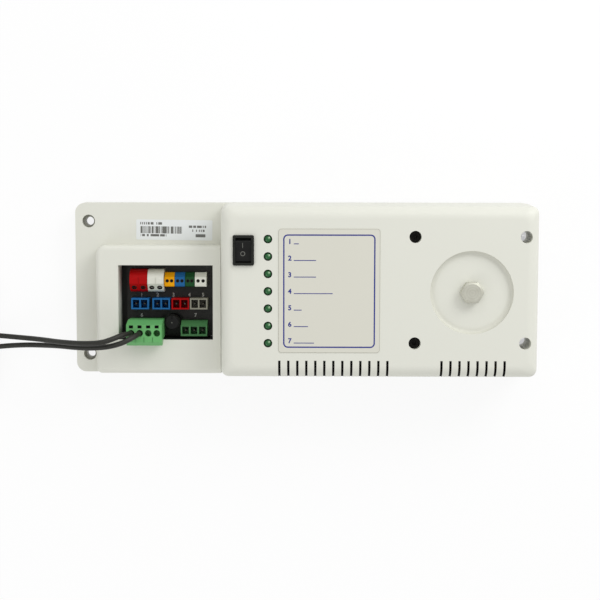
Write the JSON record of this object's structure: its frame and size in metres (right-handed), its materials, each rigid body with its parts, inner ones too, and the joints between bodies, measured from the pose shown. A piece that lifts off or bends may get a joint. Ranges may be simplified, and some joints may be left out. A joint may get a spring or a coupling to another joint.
{
  "type": "motor control unit",
  "caption": "Pale moulded control unit for a door motor: raised vented cover with bolted recess, rocker switch and status lamps, beside an open window of coloured terminals with black leads.",
  "frame": {"origin": "middle of the back face, which is z = 0; the housing's outline is centred on it and the leads are left out", "axes": "+X along the unit from the terminal window to the cover's closed end, +Y to the edge beside the rocker switch, +Z out of the front"},
  "size_m": [0.4003, 0.139, 0.0536],
  "materials": {
    "housing_plastic": "fine satin moulded grey white",
    "plated_steel": "zinc plated",
    "black_steel": "black oxide",
    "label_film": "printed polyester film",
    "silver_film": "silver white polyester film",
    "winding_tape": "yellow polyester winding tape",
    "rubber_pad": "matt",
    "black_plastic": "satin",
    "black_gloss": "half gloss",
    "tinned_brass": "tin plated",
    "tinned_copper": "tin plated with a black collar",
    "board_green": "green solder mask",
    "lamp_green": "green tinted resin",
    "ribbon_grey": "grey vinyl",
    "capacitor_sleeve": "black shrink sleeve",
    "aluminium": "extruded, plain",
    "plug_green": "light green polyamide",
    "plug_green_dark": "green polyamide",
    "panel_dark": "dark printed sheet",
    "porcelain": "glass and ceramic link",
    "terminal_red": "red polyamide",
    "terminal_grey": "pale grey polyamide",
    "terminal_yellow": "yellow polyamide",
    "terminal_blue": "blue polyamide",
    "terminal_green": "dark green polyamide",
    "socket_grey": "grey polyamide",
    "lead_black": "satin soft insulation"
  },
  "bodies": {
    "housing": {"base_housing": "housing_plastic", "front_cover": "housing_plastic", "rear_plate": "plated_steel", "plate_screws": "black_steel", "front_label": "label_film", "rating_sticker": "silver_film", "cover_pillars": "plated_steel", "cover_screws": "black_steel", "transformer_ring": "winding_tape", "transformer_pads": "rubber_pad", "pressure_disc": "plated_steel", "bolt_washer": "plated_steel", "clamp_bolt": "plated_steel", "clamp_nut": "plated_steel", "switch_housing": "black_plastic", "switch_blades": "tinned_brass", "main_board": "board_green", "socket_board": "board_green", "led_board": "board_green", "board_spacers": "plated_steel", "board_screws": "plated_steel", "status_leds": "lamp_green", "led_ribbon": "ribbon_grey", "capacitors": "capacitor_sleeve", "relays": "black_plastic", "heatsink": "aluminium", "power_transistors": "black_plastic", "controller_chip": "black_plastic", "header_three_way": "plug_green_dark", "header_four_way": "plug_green_dark", "header_pins": "tinned_brass", "connector_panel": "panel_dark", "fuse_holder": "black_plastic", "fuse_link": "porcelain", "plug_body": "plug_green", "terminal_red": "terminal_red", "terminal_white": "terminal_grey", "terminal_yellow": "terminal_yellow", "terminal_blue": "terminal_blue", "terminal_green": "terminal_green", "terminal_small_white": "terminal_grey", "socket_blue_outer": "terminal_blue", "socket_blue_inner": "terminal_blue", "socket_red": "terminal_red", "socket_grey": "socket_grey", "lead_one": "lead_black", "lead_one_coil": "lead_black", "lead_one_ferrule": "tinned_copper", "lead_two": "lead_black", "lead_two_coil": "lead_black", "lead_two_ferrule": "tinned_copper"},
    "rocker": {"switch_rocker": "black_gloss"},
    "fuse_cap": {"fuse_cap": "black_gloss"}
  },
  "joints": [
    {"name": "rocker_turn", "type": "hinge", "parent": "housing", "child": "rocker", "pos_m": [-0.0379, 0.0264, 0.0436], "axis": [-1, 0, 0], "range_deg": [0, 24]},
    {"name": "fuse_cap_turn", "type": "hinge", "parent": "housing", "child": "fuse_cap", "pos_m": [-0.0859, -0.0221, 0.0185], "axis": [0, 0, 1], "range_deg": [0, 60]}
  ]
}
